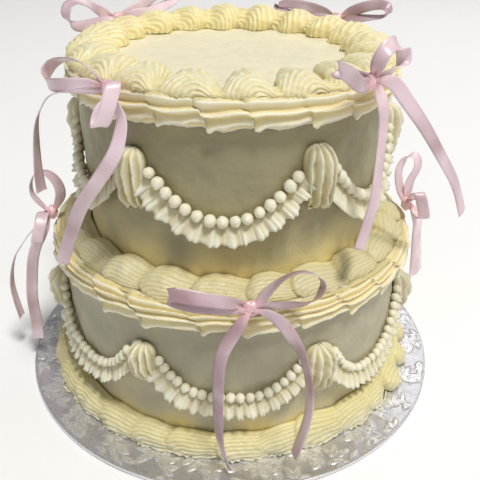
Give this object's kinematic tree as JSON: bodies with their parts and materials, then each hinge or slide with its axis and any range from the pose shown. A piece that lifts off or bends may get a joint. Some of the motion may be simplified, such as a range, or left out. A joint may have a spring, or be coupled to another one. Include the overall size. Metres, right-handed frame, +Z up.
{
  "type": "tiered wedding cake",
  "caption": "Round tiered celebration cake on a foil board, with piped buttercream borders, swags of pearls with frills, and satin ribbon bows.",
  "frame": {"origin": "centre of the board's underside", "axes": "+Z up along the tiers' common axis, the side seen in the picture faces -Y"},
  "size_m": [0.2603, 0.254, 0.2071],
  "materials": {
    "embossed_foil": "thin silver foil embossed with leaves, bright",
    "smooth_buttercream": "buttercream smoothed with a scraper, soft sheen",
    "piped_buttercream": "piped buttercream, soft sheen",
    "satin_ribbon": "satin ribbon, pale pink"
  },
  "bodies": {
    "root": {"board": "embossed_foil", "lower_tier": "smooth_buttercream", "upper_tier": "smooth_buttercream", "base_border": "piped_buttercream", "ledge_border": "piped_buttercream", "ledge_trim": "piped_buttercream", "top_border": "piped_buttercream", "top_trim": "piped_buttercream", "lower_swag_1": "piped_buttercream", "lower_drop_1": "piped_buttercream", "lower_swag_2": "piped_buttercream", "lower_drop_2": "piped_buttercream", "lower_swag_3": "piped_buttercream", "lower_drop_3": "piped_buttercream", "lower_swag_4": "piped_buttercream", "lower_drop_4": "piped_buttercream", "lower_swag_5": "piped_buttercream", "lower_drop_5": "piped_buttercream", "lower_swag_6": "piped_buttercream", "lower_drop_6": "piped_buttercream", "lower_swag_7": "piped_buttercream", "lower_drop_7": "piped_buttercream", "upper_swag_1": "piped_buttercream", "upper_drop_1": "piped_buttercream", "upper_swag_2": "piped_buttercream", "upper_drop_2": "piped_buttercream", "upper_swag_3": "piped_buttercream", "upper_drop_3": "piped_buttercream", "upper_swag_4": "piped_buttercream", "upper_drop_4": "piped_buttercream", "upper_swag_5": "piped_buttercream", "upper_drop_5": "piped_buttercream", "upper_swag_6": "piped_buttercream", "upper_drop_6": "piped_buttercream", "top_bow_1": "satin_ribbon", "top_bow_2": "satin_ribbon", "top_bow_3": "satin_ribbon", "top_bow_4": "satin_ribbon", "ledge_bow_1": "satin_ribbon", "ledge_bow_2": "satin_ribbon", "ledge_bow_3": "satin_ribbon", "ledge_bow_4": "satin_ribbon"}
  },
  "joints": []
}
